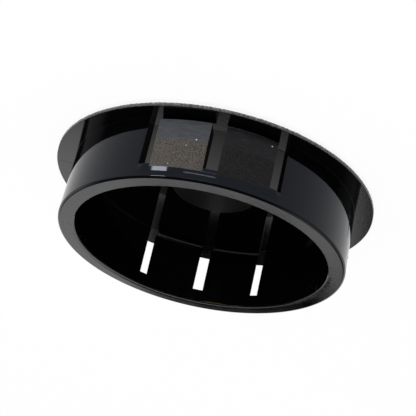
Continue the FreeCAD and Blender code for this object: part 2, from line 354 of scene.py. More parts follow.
    # small middle discs of the cap
    for level, up in ((0.0, False), (v["seatLevel"] + v["padHeight"], True)):
        angleRadius = floorEdge if up else seatEdge
        row = zoneRow(v["discRadius"], level, allZones, angleRadius)
        centre = mesh.verts.new(Vector((0, 0, level)) * mm)
        verts = [mesh.verts.new(p * mm) for p in row]
        for a, b in zip(verts, verts[1:]):
            face = mesh.faces.new([centre, b, a] if up else [centre, a, b])
            face[zoneLayer] = finishes["pad" if up else "gloss"]

    bmesh.ops.remove_doubles(mesh, verts=mesh.verts, dist=0.0005 * mm)
    bmesh.ops.recalc_face_normals(mesh, faces=mesh.faces)
    lowest = min(mesh.faces, key=lambda face: face.calc_center_median().z)
    if lowest.normal.z > 0:
        bmesh.ops.reverse_faces(mesh, faces=mesh.faces)
    data = bpy.data.meshes.new("plugQuarter")
    mesh.to_mesh(data)
    mesh.free()
    return data


# Colours are linear. The plastic is black with a trace of blue.
glossValues = {
    "colour": (0.0011, 0.0012, 0.0016, 1),
    "specular": 0.5,
    "tint": (1.0, 1.0, 1.0, 1),
    "roughness": 0.035,
    "roughnessSpread": 0.035,
    "hazeScale": 180.0,
    "rippleScale": 1500.0,
    "bumpDistance": 0.000008,
}
# the skirt's reflection is painted deeper and bluer than the ring's: painted shade and a painted blue
# reflection tint on a copy of the gloss plastic
shadedSkirtValues = {**glossValues, "specular": 0.2, "tint": (0.70, 0.80, 1.0, 1)}
# the floor of the hollow is a painted-shade copy of the gloss plastic: darker and a little duller, as shade
# in the recess
shadedFloorValues = {
    "colour": (0.0004, 0.0004, 0.0005, 1),
    "specular": 0.2,
    "tint": (1.0, 1.0, 1.0, 1),
    "roughness": 0.035,
    "roughnessSpread": 0.015,
    "hazeScale": 260.0,
    "rippleScale": 2200.0,
    "bumpDistance": 0.0000026,
}


def newMaterial(name):
    material = bpy.data.materials.new(name)
    material.use_nodes = True
    nodes = material.node_tree.nodes
    nodes.clear()
    output = nodes.new("ShaderNodeOutputMaterial")
    shader = nodes.new("ShaderNodeBsdfPrincipled")
    material.node_tree.links.new(shader.outputs["BSDF"], output.inputs["Surface"])
    return material, nodes, material.node_tree.links, shader


def objectNoise(nodes, links, scale, detail=4.0, roughness=0.5, stretch=None):
    place = nodes.new("ShaderNodeTexCoord")
    texture = nodes.new("ShaderNodeTexNoise")
    texture.inputs["Scale"].default_value = scale
    texture.inputs["Detail"].default_value = detail
    texture.inputs["Roughness"].default_value = roughness
    source = place.outputs["Object"]
    if stretch:
        mapping = nodes.new("ShaderNodeMapping")
        mapping.inputs["Scale"].default_value = stretch
        links.new(source, mapping.inputs["Vector"])
        source = mapping.outputs["Vector"]
    links.new(source, texture.inputs["Vector"])
    return texture.outputs["Fac"]


def mapped(nodes, links, source, fromLow, fromHigh, toLow, toHigh):
    node = nodes.new("ShaderNodeMapRange")
    node.inputs["From Min"].default_value = fromLow
    node.inputs["From Max"].default_value = fromHigh
    node.inputs["To Min"].default_value = toLow
    node.inputs["To Max"].default_value = toHigh
    links.new(source, node.inputs["Value"])
    return node.outputs["Result"]


def addBump(nodes, links, shader, height, strength, distance):
    bump = nodes.new("ShaderNodeBump")
    bump.inputs["Distance"].default_value = distance
    if isinstance(strength, float):
        bump.inputs["Strength"].default_value = strength
    else:
        links.new(strength, bump.inputs["Strength"])
    links.new(height, bump.inputs["Height"])
    links.new(bump.outputs["Normal"], shader.inputs["Normal"])


def addRoughness(nodes, links, shader, grain, low, high):
    links.new(mapped(nodes, links, grain, 0.3, 0.7, low, high), shader.inputs["Roughness"])


def glossPlastic(name, g):
    material, nodes, links, shader = newMaterial(name)
    shader.inputs["Base Color"].default_value = g["colour"]
    shader.inputs["IOR"].default_value = 1.5
    shader.inputs["Specular IOR Level"].default_value = g["specular"]
    shader.inputs["Specular Tint"].default_value = g["tint"]
    haze = objectNoise(nodes, links, g["hazeScale"], 3.0)
    rough = mapped(nodes, links, haze, 0.35, 0.7, g["roughness"], g["roughness"] + g["roughnessSpread"])
    links.new(rough, shader.inputs["Roughness"])
    ripple = objectNoise(nodes, links, g["rippleScale"], 3.0, 0.75)
    addBump(nodes, links, shader, ripple, 0.5, g["bumpDistance"])
    return material


def objectPart(nodes, links, axis):
    place = nodes.new("ShaderNodeTexCoord")
    parts = nodes.new("ShaderNodeSeparateXYZ")
    links.new(place.outputs["Object"], parts.inputs["Vector"])
    return parts.outputs[axis]


def colourMix(nodes, links, factor, first, second):
    node = nodes.new("ShaderNodeMix")
    node.data_type = "RGBA"
    for name, value in (("Factor", factor), ("A", first), ("B", second)):
        if isinstance(value, (tuple, float)):
            node.inputs[name].default_value = value
        else:
            links.new(value, node.inputs[name])
    return node.outputs["Result"]


def addNode(nodes, links, kind, first, second=None):
    node = nodes.new("ShaderNodeMath")
    node.operation = kind
    for socket, value in zip(node.inputs, (first, second)):
        if value is None:
            continue
        if isinstance(value, (int, float)):
            socket.default_value = value
        else:
            links.new(value, socket)
    return node.outputs[0]


def nibMask(nodes, links, scale, reach, rare):
    # few small light nibs: a dot in the middle of some cells only
    place = nodes.new("ShaderNodeTexCoord")
    cells = nodes.new("ShaderNodeTexVoronoi")
    cells.inputs["Scale"].default_value = scale
    links.new(place.outputs["Object"], cells.inputs["Vector"])
    dots = addNode(nodes, links, "LESS_THAN", cells.outputs["Distance"], reach)
    parts = nodes.new("ShaderNodeSeparateColor")
    links.new(cells.outputs["Color"], parts.inputs["Color"])
    chosen = addNode(nodes, links, "GREATER_THAN", parts.outputs["Red"], rare)
    return addNode(nodes, links, "MULTIPLY", dots, chosen)


# the lighter, warmer pair of colours paints the +X side: a painted highlight of the key lamp; the speckle
# is the spark-eroded grain
rampValues = {
    "dark": (0.0022, 0.0020, 0.0022, 1), "darkSpeck": (0.016, 0.0145, 0.0155, 1),
    "keyLitSide": (0.033, 0.030, 0.027, 1), "keyLitSpeck": (0.102, 0.093, 0.082, 1),
    "nib": (0.45, 0.45, 0.45, 1),
    "specular": 0.12, "roughness": 0.40, "grainScale": 5400.0, "bumpDistance": 0.00006,
}


def rampPlastic():
    g = rampValues
    material, nodes, links, shader = newMaterial("sparkErodedPlasticPaintedHighlight")
    shader.inputs["Specular IOR Level"].default_value = g["specular"]
    grain = objectNoise(nodes, links, g["grainScale"], 3.0, 0.6)
    specks = mapped(nodes, links, grain, 0.42, 0.66, 0.0, 1.0)
    # painted highlight: mask of the +X side, which takes the lighter colours
    side = mapped(nodes, links, objectPart(nodes, links, "X"), -0.0006, 0.0006, 0.0, 1.0)
    plain = colourMix(nodes, links, specks, g["dark"], g["darkSpeck"])
    keyLitColour = colourMix(nodes, links, specks, g["keyLitSide"], g["keyLitSpeck"])
    colour = colourMix(nodes, links, side, plain, keyLitColour)
    colour = colourMix(nodes, links, nibMask(nodes, links, 1300.0, 0.10, 0.90), colour, g["nib"])
    links.new(colour, shader.inputs["Base Color"])
    addRoughness(nodes, links, shader, grain, g["roughness"] - 0.08, g["roughness"] + 0.1)
    addBump(nodes, links, shader, grain, 0.6, g["bumpDistance"])
    return material


# the lighter pair of colours paints the +X side: a painted highlight of the key lamp over real scratches,
# which both sides carry
landValues = {
    "dark": (0.0028, 0.0030, 0.0038, 1), "darkLine": (0.016, 0.017, 0.021, 1),
    "keyLitSide": (0.040, 0.045, 0.054, 1), "keyLitLine": (0.078, 0.084, 0.096, 1),
    "nib": (0.6, 0.6, 0.6, 1), "edgeHighlight": 0.8,
    "specular": 0.16, "roughness": 0.38, "lineScale": 1600.0, "bumpDistance": 0.000012,
}


def landPlastic():
    g = landValues
    v = plugValues
    material, nodes, links, shader = newMaterial("scuffedLandPlasticPaintedHighlight")
    shader.inputs["Specular IOR Level"].default_value = g["specular"]
    lines = objectNoise(nodes, links, g["lineScale"], 4.0, 0.6, stretch=(0.35, 0.35, 7.0))
    scratches = mapped(nodes, links, lines, 0.45, 0.72, 0.0, 1.0)
    # painted highlight: mask of the +X side, which takes the lighter colours
    side = mapped(nodes, links, objectPart(nodes, links, "X"), -0.0006, 0.0006, 0.0, 1.0)
    # painted highlight: the free end's edge is painted lighter
    level = objectPart(nodes, links, "Z")
    upper, lower = (v["freeLevel"] + 0.30) * mm, (v["freeLevel"] + 0.12) * mm
    edge = mapped(nodes, links, level, upper, lower, 0.0, g["edgeHighlight"])
    scratches = addNode(nodes, links, "MAXIMUM", scratches, edge)
    plain = colourMix(nodes, links, scratches, g["dark"], g["darkLine"])
    keyLitColour = colourMix(nodes, links, scratches, g["keyLitSide"], g["keyLitLine"])
    colour = colourMix(nodes, links, side, plain, keyLitColour)
    colour = colourMix(nodes, links, nibMask(nodes, links, 900.0, 0.10, 0.86), colour, g["nib"])
    links.new(colour, shader.inputs["Base Color"])
    addRoughness(nodes, links, shader, lines, g["roughness"] - 0.06, g["roughness"] + 0.08)
    addBump(nodes, links, shader, lines, 0.6, g["bumpDistance"])
    return material


padValues = {"colour": (0.001, 0.001, 0.001, 1),
             "specular": 0.37, "roughness": 0.45, "grainScale": 2400.0, "bumpDistance": 0.00002}


def padPlastic():
    g = padValues
    material, nodes, links, shader = newMaterial("mattPadPlastic")
    shader.inputs["Base Color"].default_value = g["colour"]
    shader.inputs["Specular IOR Level"].default_value = g["specular"]
    grain = objectNoise(nodes, links, g["grainScale"], 3.0, 0.6)
    rough = mapped(nodes, links, grain, 0.3, 0.7, g["roughness"] - 0.06, g["roughness"] + 0.08)
    # the matt patch stops short of the pad's edge towards -Y
    matt = mapped(nodes, links, objectPart(nodes, links, "Y"), -0.0052, -0.0044, 0.12, 1.0)
    links.new(addNode(nodes, links, "MULTIPLY", rough, matt), shader.inputs["Roughness"])
    addBump(nodes, links, shader, grain, addNode(nodes, links, "MULTIPLY", matt, 0.5), g["bumpDistance"])
    return material


rimValues = {
    "dark": (0.006, 0.006, 0.007, 1), "light": (0.30, 0.305, 0.32, 1),
    "roughness": 0.45, "grainScale": 3600.0, "bumpDistance": 0.00006,
}


def rimPlastic():
    g = rimValues
    material, nodes, links, shader = newMaterial("roughRimPlastic")
    shader.inputs["IOR"].default_value = 1.5
    grain = objectNoise(nodes, links, g["grainScale"], 4.0, 0.65)
    # speckled, and lighter along the outer edge
    band = mapped(nodes, links, objectPart(nodes, links, "Z"), 0.00108, 0.00078, 0.25, 1.0)
    specks = addNode(nodes, links, "MULTIPLY", mapped(nodes, links, grain, 0.42, 0.62, 0.0, 1.0), band)
    links.new(colourMix(nodes, links, specks, g["dark"], g["light"]), shader.inputs["Base Color"])
    addRoughness(nodes, links, shader, grain, g["roughness"] - 0.1, g["roughness"] + 0.15)
    addBump(nodes, links, shader, grain, 0.8, g["bumpDistance"])
    return material


flashValues = {"colour": (0.004, 0.004, 0.005, 1), "pale": (0.30, 0.30, 0.31, 1), "roughness": 0.5}


def flashPlastic():
    # thin feathered plastic of the flash and the parting marks, paler where it is thinnest
    g = flashValues
    material, nodes, links, shader = newMaterial("featheredFlash")
    shader.inputs["IOR"].default_value = 1.5
    grain = objectNoise(nodes, links, 5200.0, 2.0, 0.6)
    thin = mapped(nodes, links, grain, 0.58, 0.72, 0.0, 0.6)
    links.new(colourMix(nodes, links, thin, g["colour"], g["pale"]), shader.inputs["Base Color"])
    addRoughness(nodes, links, shader, grain, g["roughness"] - 0.1, g["roughness"] + 0.1)
    return material


seamShadeValues = {"colour": (0.0008, 0.0008, 0.001, 1), "specular": 0.12, "roughness": 0.6}


def seamShadePlastic():
    # dull dark plastic of the parting marks and of the thin lines across the slots' floors; its low shine
    # is a painted shade along these real marks
    g = seamShadeValues
    material, nodes, links, shader = newMaterial("dullSeamPaintedShade")
    shader.inputs["Base Color"].default_value = g["colour"]
    shader.inputs["Specular IOR Level"].default_value = g["specular"]
    grain = objectNoise(nodes, links, 3800.0, 2.0, 0.6)
    addRoughness(nodes, links, shader, grain, g["roughness"] - 0.1, g["roughness"] + 0.1)
    return material


glintValues = {"colour": (0.075, 0.036, 0.012, 1), "dark": (0.02, 0.010, 0.004, 1), "roughness": 0.4}


def glintPlastic():
    # painted reflection: the strip at the bore's edge is painted brown as a glint
    g = glintValues
    material, nodes, links, shader = newMaterial("paintedBrownGlint")
    shader.inputs["IOR"].default_value = 1.5
    grain = objectNoise(nodes, links, 1400.0, 3.0, 0.6)
    streaks = mapped(nodes, links, grain, 0.4, 0.6, 0.0, 1.0)
    links.new(colourMix(nodes, links, streaks, g["dark"], g["colour"]), shader.inputs["Base Color"])
    addRoughness(nodes, links, shader, grain, g["roughness"] - 0.1, g["roughness"] + 0.1)
    return material


materials = {
    "gloss": glossPlastic("glossBlackPlastic", glossValues),
    "floor": glossPlastic("paintedShadeHollowFloor", shadedFloorValues),
    "skirt": glossPlastic("paintedShadeSkirtPlastic", shadedSkirtValues),
    "ramp": rampPlastic(),
    "rim": rimPlastic(),
    "land": landPlastic(),
    "pad": padPlastic(),
    "flash": flashPlastic(),
    "glint": glintPlastic(),
    "seam": seamShadePlastic(),
}
print("materials made")

repeatValues = {"Windows": 2, "Weld": 0.000002}


def repeatTree():
    # mirrors the quarter across X = 0, turns the half about the axis, welds all and sets the finishes
    tree = bpy.data.node_groups.new("windowRepeat", "GeometryNodeTree")
    tree.interface.new_socket("Geometry", in_out="INPUT", socket_type="NodeSocketGeometry")
    windows = tree.interface.new_socket("Windows", in_out="INPUT", socket_type="NodeSocketInt")
    weld = tree.interface.new_socket("Weld", in_out="INPUT", socket_type="NodeSocketFloat")
    tree.interface.new_socket("Geometry", in_out="OUTPUT", socket_type="NodeSocketGeometry")
    nodes, links = tree.nodes, tree.links
    start = nodes.new("NodeGroupInput")
    end = nodes.new("NodeGroupOutput")

    mirror = nodes.new("GeometryNodeTransform")
    mirror.inputs["Scale"].default_value = (-1, 1, 1)
    flip = nodes.new("GeometryNodeFlipFaces")
    half = nodes.new("GeometryNodeJoinGeometry")
    links.new(start.outputs["Geometry"], mirror.inputs["Geometry"])
    links.new(mirror.outputs["Geometry"], flip.inputs["Mesh"])
    links.new(start.outputs["Geometry"], half.inputs["Geometry"])
    links.new(flip.outputs["Mesh"], half.inputs["Geometry"])

    points = nodes.new("GeometryNodeMeshLine")
    points.inputs["Offset"].default_value = (0, 0, 0)
    links.new(start.outputs["Windows"], points.inputs["Count"])
    index = nodes.new("GeometryNodeInputIndex")
    share = nodes.new("ShaderNodeMath")
    share.operation = "DIVIDE"
    links.new(index.outputs["Index"], share.inputs[0])
    links.new(start.outputs["Windows"], share.inputs[1])
    angle = nodes.new("ShaderNodeMath")
    angle.operation = "MULTIPLY"
    angle.inputs[1].default_value = 2 * math.pi
    links.new(share.outputs[0], angle.inputs[0])
    turn = nodes.new("ShaderNodeCombineXYZ")
    links.new(angle.outputs[0], turn.inputs["Z"])
    place = nodes.new("GeometryNodeInstanceOnPoints")
    links.new(points.outputs["Mesh"], place.inputs["Points"])
    links.new(half.outputs["Geometry"], place.inputs["Instance"])
    links.new(turn.outputs["Vector"], place.inputs["Rotation"])
    realize = nodes.new("GeometryNodeRealizeInstances")
    links.new(place.outputs["Instances"], realize.inputs["Geometry"])
    merge = nodes.new("GeometryNodeMergeByDistance")
    links.new(realize.outputs["Geometry"], merge.inputs["Geometry"])
    links.new(start.outputs["Weld"], merge.inputs["Distance"])
    last = merge.outputs["Geometry"]
    for name, number in finishes.items():
        zone = nodes.new("GeometryNodeInputNamedAttribute")
        zone.data_type = "INT"
        zone.inputs["Name"].default_value = "finishZone"
        same = nodes.new("FunctionNodeCompare")
        same.data_type = "INT"
        same.operation = "EQUAL"
        links.new(zone.outputs["Attribute"], same.inputs["A"])
        same.inputs["B"].default_value = number
        finish = nodes.new("GeometryNodeSetMaterial")
        finish.inputs["Material"].default_value = materials[name]
        links.new(last, finish.inputs["Geometry"])
        links.new(same.outputs["Result"], finish.inputs["Selection"])
        last = finish.outputs["Geometry"]
    links.new(last, end.inputs["Geometry"])
    return tree, {"Windows": windows.identifier, "Weld": weld.identifier}


def lowerLapLine(data):
    # faint sunk line beside the bore, on the half of the ring behind the parting plane
    v = plugValues
    for vertex in data.vertices:
        radius = vertex.co.xy.length / mm
        if abs(radius - v["lapRadius"]) < 0.01 and abs(vertex.co.z / mm - v["topLevel"]) < 0.01:
            fade = min(max((vertex.co.y / mm + 0.5) / v["lapFade"], 0.0), 1.0)
            vertex.co.z -= v["lapDepth"] * fade * mm


def makePlug():
    source = bpy.data.objects.new("plugBody", quarterMesh())
    bpy.context.scene.collection.objects.link(source)
    tree, sockets = repeatTree()
    repeat = source.modifiers.new("windowRepeat", "NODES")
    repeat.node_group = tree
    for name, identifier in sockets.items():
        repeat[identifier] = repeatValues[name]
    soften = source.modifiers.new("softEdges", "BEVEL")
    soften.width = plugValues["edgeRound"] * mm
    soften.segments = 4
    soften.limit_method = "ANGLE"
    soften.angle_limit = math.radians(50)
    soften.miter_outer = "MITER_ARC"
    bpy.context.view_layer.update()
    evaluated = source.evaluated_get(bpy.context.evaluated_depsgraph_get())
    finished = bpy.data.meshes.new_from_object(evaluated)
    source.modifiers.clear()
    source.data = finished
    lowerLapLine(finished)
    finished.set_sharp_from_angle(angle=math.radians(26))
    for polygon in finished.polygons:
        polygon.use_smooth = True
    # the large faces keep their own slope up to the small roundings beside them
    weighted = source.modifiers.new("areaNormals", "WEIGHTED_NORMAL")
    weighted.mode = "FACE_AREA"
    weighted.weight = 50
    weighted.keep_sharp = True
    bpy.context.view_layer.update()
    shaded = bpy.data.meshes.new_from_object(source.evaluated_get(bpy.context.evaluated_depsgraph_get()))
    source.modifiers.clear()
    source.data = shaded
    print("own normals kept:", shaded.has_custom_normals)
    return source


plug = makePlug()
print("plug made,", len(plug.data.polygons), "faces")
checkMesh = bmesh.new()
checkMesh.from_mesh(plug.data)
openEdges = sum(1 for edge in checkMesh.edges if not edge.is_manifold)
checkMesh.free()
print("open or doubled edges:", openEdges)

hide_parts("hole_plug")
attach(plug, "root")

# Flash and witness marks, each a low feathered ridge: from, to (mm), width, height, wander
markValues = {
    "step": 0.28,
    "ridges": [
        ((22.75, 0.15, 12.98), (23.75, 0.05, 12.98), 0.10, 0.018, 0.06),
        ((24.25, 0.05, 12.98), (24.95, 0.12, 12.98), 0.07, 0.012, 0.05),
        ((25.4, -0.1, 1.3), (28.3, -0.15, 1.3), 0.09, 0.020, 0.05),
        ((-22.9, 0.1, 12.98), (-24.2, 0.1, 12.98), 0.06, 0.010, 0.05),
        ((-25.5, 0.05, 1.3), (-28.3, 0.1, 1.3), 0.08, 0.015, 0.05),
        ((25.17, 0.0, 1.9), (25.47, 0.0, 12.2), 0.08, 0.025, 0.08),
        ((-25.17, -0.1, 1.9), (-25.47, -0.1, 12.2), 0.06, 0.018, 0.05),
        ((-24.10, -7.35, 3.4), (-24.25, -7.25, 8.6), 0.13, 0.045, 0.24),
        ((-24.00, -7.80, 3.9), (-24.10, -7.75, 6.4), 0.09, 0.035, 0.18),
        ((-25.36, -2.20, 9.3), (-25.37, -2.25, 9.8), 0.18, 0.060, 0.02),
    ],
}


def closeStrip(mesh, rows, materialIndex=0):
    # a closed strip through rows of four points
    for a, b in zip(rows, rows[1:]):
        for k in range(4):
            face = mesh.faces.new((a[k], b[k], b[(k + 1) % 4], a[(k + 1) % 4]))
            face.material_index = materialIndex
    for face in (mesh.faces.new(rows[0][::-1]), mesh.faces.new(rows[-1])):
        face.material_index = materialIndex


def pieceFrom(mesh, name, finishNames):
    bmesh.ops.recalc_face_normals(mesh, faces=mesh.faces)
    data = bpy.data.meshes.new(name)
    mesh.to_mesh(data)
    mesh.free()
    for finish in finishNames:
        data.materials.append(materials[finish])
    piece = bpy.data.objects.new(name, data)
    bpy.context.scene.collection.objects.link(piece)
    return piece


def makeMarks():
    m, v = markValues, plugValues
    dice = random.Random(11)
    mesh = bmesh.new()
    ridges = [(Vector(a), Vector(b), width, height, wander) for a, b, width, height, wander in m["ridges"]]
    # the thin line across the floor of each side slot
    sideMiddle = v["tongueHalf"] + v["sideSlotWidth"] / 2
    for signX in (-1, 1):
        for signY in (-1, 1):
            ends = []
            for x in (sideMiddle - 0.53, sideMiddle + 0.55):
                y = math.sqrt((v["boreRootRadius"] + 0.06) ** 2 - x * x)
                ends.append(Vector((signX * x, signY * y, v["seatLevel"])))
            ridges.append((ends[0], ends[1], 0.30, 0.02, 0.0))
    for start, end, width, height, wander in ridges:
        along = (end - start).normalized()
        middle = (start + end) / 2
        flat = abs(along.z) < 0.5
        out = Vector((0, 0, 1)) if flat else Vector((middle.x, middle.y, 0)).normalized()
        across = along.cross(out).normalized()
        steps = max(2, math.ceil((end - start).length / m["step"]))
        rows = []
        isSeam = not wander or (flat and start.z > 2)
        for i in range(steps + 1):
            taper = min(1.0, 4 * i / steps, 4 * (steps - i) / steps) if wander else 1.0
            centre = start.lerp(end, i / steps) + across * dice.uniform(-wander, wander)
            if not flat:
                centre = centre.normalized() * centre.length
                level = centre.z
                centre = Vector((centre.x, centre.y, 0)).normalized() * skirtRadius(level)
                centre.z = level
            half = width / 2 * max(taper, 0.3) * dice.uniform(0.75, 1.15)
            lift = height * max(taper, 0.2) * dice.uniform(0.7, 1.0)
            sink = out * 0.03
            points = (centre - across * half - sink, centre - across * half * 0.4 + out * lift,
                      centre + across * half * 0.4 + out * lift, centre + across * half - sink)
            rows.append([mesh.verts.new(point * mm) for point in points])
        closeStrip(mesh, rows, isSeam)
    return pieceFrom(mesh, "flashMarks", ["flash", "seam"])


# Painted reflection: a brown glint strip on the far bore just under the ring's face; angles from +Y towards
# +X
glintShape = {"from": -15.5, "to": -2.0, "steps": 30, "width": 0.26, "lift": 0.025, "sink": 0.03}


def makeGlint():
    g, v = glintShape, plugValues
    dice = random.Random(5)
    mesh = bmesh.new()
    rows = []
    top = v["topLevel"] - v["boreBevel"] - 0.05
    for i in range(g["steps"] + 1):
        share = i / g["steps"]
        angle = math.radians(g["from"] + (g["to"] - g["from"]) * share)
        swell = math.sin(math.pi * min(max(share, 0.04), 0.96)) ** 0.6
        depth = g["width"] * swell * dice.uniform(0.85, 1.0)
        row = []
        low, lift = top - depth, g["lift"] * swell
        for level, stand in ((top, -g["sink"]), (top, lift), (low, lift * 0.4), (low, -g["sink"])):
            radius = boreRadius(level) - stand
            point = Vector((radius * math.sin(angle), radius * math.cos(angle), level))
            row.append(mesh.verts.new(point * mm))
        rows.append(row)
    closeStrip(mesh, rows)
    return pieceFrom(mesh, "boreEdgeGlintStrip", ["glint"])


# Ragged burrs of the rim, scattered along its outer edge
burrValues = {
    "Count": 1100,
    "Radius": 0.02843,
    "Level": 0.00074,
    "Spread": 0.00010,
    "Smallest": 0.000016,
    "Largest": 0.000066,
    "Seed": 7,
}


def burrTree():
    tree = bpy.data.node_groups.new("rimBurrs", "GeometryNodeTree")
    tree.interface.new_socket("Geometry", in_out="INPUT", socket_type="NodeSocketGeometry")
    kinds = {"Count": "NodeSocketInt", "Seed": "NodeSocketInt"}
    sockets = {}
    for name in burrValues:
        kind = kinds.get(name, "NodeSocketFloat")
        sockets[name] = tree.interface.new_socket(name, in_out="INPUT", socket_type=kind)
    tree.interface.new_socket("Geometry", in_out="OUTPUT", socket_type="NodeSocketGeometry")
    nodes, links = tree.nodes, tree.links
    start = nodes.new("NodeGroupInput")
    end = nodes.new("NodeGroupOutput")
    circle = nodes.new("GeometryNodeMeshCircle")
    links.new(start.outputs["Count"], circle.inputs["Vertices"])
    links.new(start.outputs["Radius"], circle.inputs["Radius"])

    shift = nodes.new("FunctionNodeRandomValue")
    shift.data_type = "FLOAT_VECTOR"
    links.new(start.outputs["Seed"], shift.inputs["Seed"])
    shift.inputs["Min"].default_value = (-1, -1, -1)
    shift.inputs["Max"].default_value = (1, 1, 1)
    spread = nodes.new("ShaderNodeVectorMath")
    spread.operation = "SCALE"
    links.new(shift.outputs["Value"], spread.inputs[0])
    links.new(start.outputs["Spread"], spread.inputs["Scale"])
    # spread up and down only, with the radius kept
    flatten = nodes.new("ShaderNodeVectorMath")
    flatten.operation = "MULTIPLY"
    flatten.inputs[1].default_value = (0.0, 0.0, 1.0)
    links.new(spread.outputs["Vector"], flatten.inputs[0])
    lift = nodes.new("ShaderNodeCombineXYZ")
    links.new(start.outputs["Level"], lift.inputs["Z"])
    offset = nodes.new("ShaderNodeVectorMath")
    offset.operation = "ADD"
    links.new(flatten.outputs["Vector"], offset.inputs[0])
    links.new(lift.outputs["Vector"], offset.inputs[1])
    setPlace = nodes.new("GeometryNodeSetPosition")
    links.new(circle.outputs["Mesh"], setPlace.inputs["Geometry"])
    links.new(offset.outputs["Vector"], setPlace.inputs["Offset"])

    burr = nodes.new("GeometryNodeMeshIcoSphere")
    burr.inputs["Radius"].default_value = 1.0
    burr.inputs["Subdivisions"].default_value = 1
    size = nodes.new("FunctionNodeRandomValue")
    size.data_type = "FLOAT"
    links.new(start.outputs["Smallest"], size.inputs[2])
    links.new(start.outputs["Largest"], size.inputs[3])
    links.new(start.outputs["Seed"], size.inputs["Seed"])
    turn = nodes.new("FunctionNodeRandomValue")
    turn.data_type = "FLOAT_VECTOR"
    turn.inputs["Max"].default_value = (6.28, 6.28, 6.28)
    links.new(start.outputs["Seed"], turn.inputs["Seed"])
    place = nodes.new("GeometryNodeInstanceOnPoints")
    links.new(setPlace.outputs["Geometry"], place.inputs["Points"])
    links.new(burr.outputs["Mesh"], place.inputs["Instance"])
    links.new(turn.outputs["Value"], place.inputs["Rotation"])
    links.new(size.outputs[1], place.inputs["Scale"])
    realize = nodes.new("GeometryNodeRealizeInstances")
    links.new(place.outputs["Instances"], realize.inputs["Geometry"])
    finish = nodes.new("GeometryNodeSetMaterial")
    finish.inputs["Material"].default_value = materials["rim"]
    links.new(realize.outputs["Geometry"], finish.inputs["Geometry"])
    links.new(finish.outputs["Geometry"], end.inputs["Geometry"])
    return tree, {name: socket.identifier for name, socket in sockets.items()}


def makeBurrs():
    burrs = bpy.data.objects.new("rimBurrs", bpy.data.meshes.new("rimBurrs"))
    bpy.context.scene.collection.objects.link(burrs)
    tree, sockets = burrTree()
    scatter = burrs.modifiers.new("rimBurrs", "NODES")
    scatter.node_group = tree
    for name, identifier in sockets.items():
        scatter[identifier] = burrValues[name]
    bpy.context.view_layer.update()
    finished = bpy.data.meshes.new_from_object(burrs.evaluated_get(bpy.context.evaluated_depsgraph_get()))
    burrs.modifiers.clear()
    burrs.data = finished
    return burrs


for piece in (makeMarks(), makeGlint(), makeBurrs()):
    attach(piece, "root")
    print(piece.name, "made,", len(piece.data.polygons), "faces")


# Floor and surround, the same for camera, gloss and glass: white floor and horizon, and a dark ceiling
studioValues = {
    "floorSize": 3.0,
    "floorLevel": -0.00001,
    "floorColour": (0.82, 0.82, 0.83, 1),
    "whiteShare": 0.92,
    "diffuseWorld": 0.6,
    "ceiling": 0.03,
    "whiteUpTo": (18.0, 23.0),
    # pale panels above the horizon: by turn from +Y towards +X or by rise, from, to, and the level at both
    "panels": {
        "backdrop": [("turn", 10, 25, 1.0, 0.0), ("turn", -4.0, -2.4, 0.1, 0.85),
                     ("turn", -2.6, 5.0, 1.0, 1.2), ("rise", 26.5, 31.0, 1.0, 0.02)],
        "left": [("turn", 34, 44, 0.0, 0.85), ("turn", 60, 76, 1.0, 0.0), ("rise", 28, 48, 1.0, 0.1)],
        "lowRight": [("turn", -36, -28, 0.30, 0.10), ("turn", -68, -56, 0.0, 1.0),
                     ("rise", 30, 38, 1.0, 0.0), ("turn", -8, -3, 1.0, 0.0)],
        "highRight": [("turn", -26, -16, 0.62, 0.0), ("turn", -118, -88, 0.0, 1.0),
                      ("rise", 33, 39, 0.0, 1.0), ("rise", 54, 66, 1.0, 0.0)],
    },
    # dark gap in the backdrop, with a leaning left side and a sloping top
    "gap": [("leaning", 3.55, 5.95, 1.0, 0.0), ("turn", -4.0, -2.0, 0.0, 1.0),
            ("sloping", 26.2, 26.7, 1.0, 0.0), ("rise", 21.0, 23.0, 0.0, 1.0)],
    "gapColour": (0.004, 0.003, 0.003, 1),
    "gapLean": 0.55,
    "gapLeanFrom": 22.7,
    "gapLeanTo": 24.6,
    "gapSlope": 0.65,
    "gapSlopeFrom": 0.6,
}


def seenDirectly(nodes, links):
    # 1 for camera, gloss and glass, 0 for the light on dull surfaces
    rays = nodes.new("ShaderNodeLightPath")
    seen = addNode(nodes, links, "MAXIMUM", rays.outputs["Is Camera Ray"], rays.outputs["Is Glossy Ray"])
    return addNode(nodes, links, "MAXIMUM", seen, rays.outputs["Is Transmission Ray"])


def makeFloor():
    size = studioValues["floorSize"]
    mesh = bmesh.new()
    bmesh.ops.create_grid(mesh, x_segments=2, y_segments=2, size=size)
    data = bpy.data.meshes.new("studioFloor")
    mesh.to_mesh(data)
    mesh.free()
    floor = bpy.data.objects.new("studioFloor", data)
    floor.location.z = studioValues["floorLevel"]
    bpy.context.scene.collection.objects.link(floor)
    material, nodes, links, shader = newMaterial("studioFloorPaint")
    nodes.remove(shader)
    diffuse = nodes.new("ShaderNodeBsdfDiffuse")
    diffuse.inputs["Color"].default_value = studioValues["floorColour"]
    seen = seenDirectly(nodes, links)
    glow = nodes.new("ShaderNodeEmission")
    mix = nodes.new("ShaderNodeMixShader")
    links.new(addNode(nodes, links, "MULTIPLY", seen, studioValues["whiteShare"]), mix.inputs["Fac"])
    links.new(diffuse.outputs["BSDF"], mix.inputs[1])
    links.new(glow.outputs["Emission"], mix.inputs[2])
    output = next(node for node in nodes if node.type == "OUTPUT_MATERIAL")
    links.new(mix.outputs["Shader"], output.inputs["Surface"])
    data.materials.append(material)


def stepped(nodes, links, source, low, high, outLow, outHigh):
    node = nodes.new("ShaderNodeMapRange")
    node.interpolation_type = "SMOOTHSTEP"
    node.inputs["From Min"].default_value = low
    node.inputs["From Max"].default_value = high
    node.inputs["To Min"].default_value = outLow
    node.inputs["To Max"].default_value = outHigh
    links.new(source, node.inputs["Value"])
    return node.outputs["Result"]


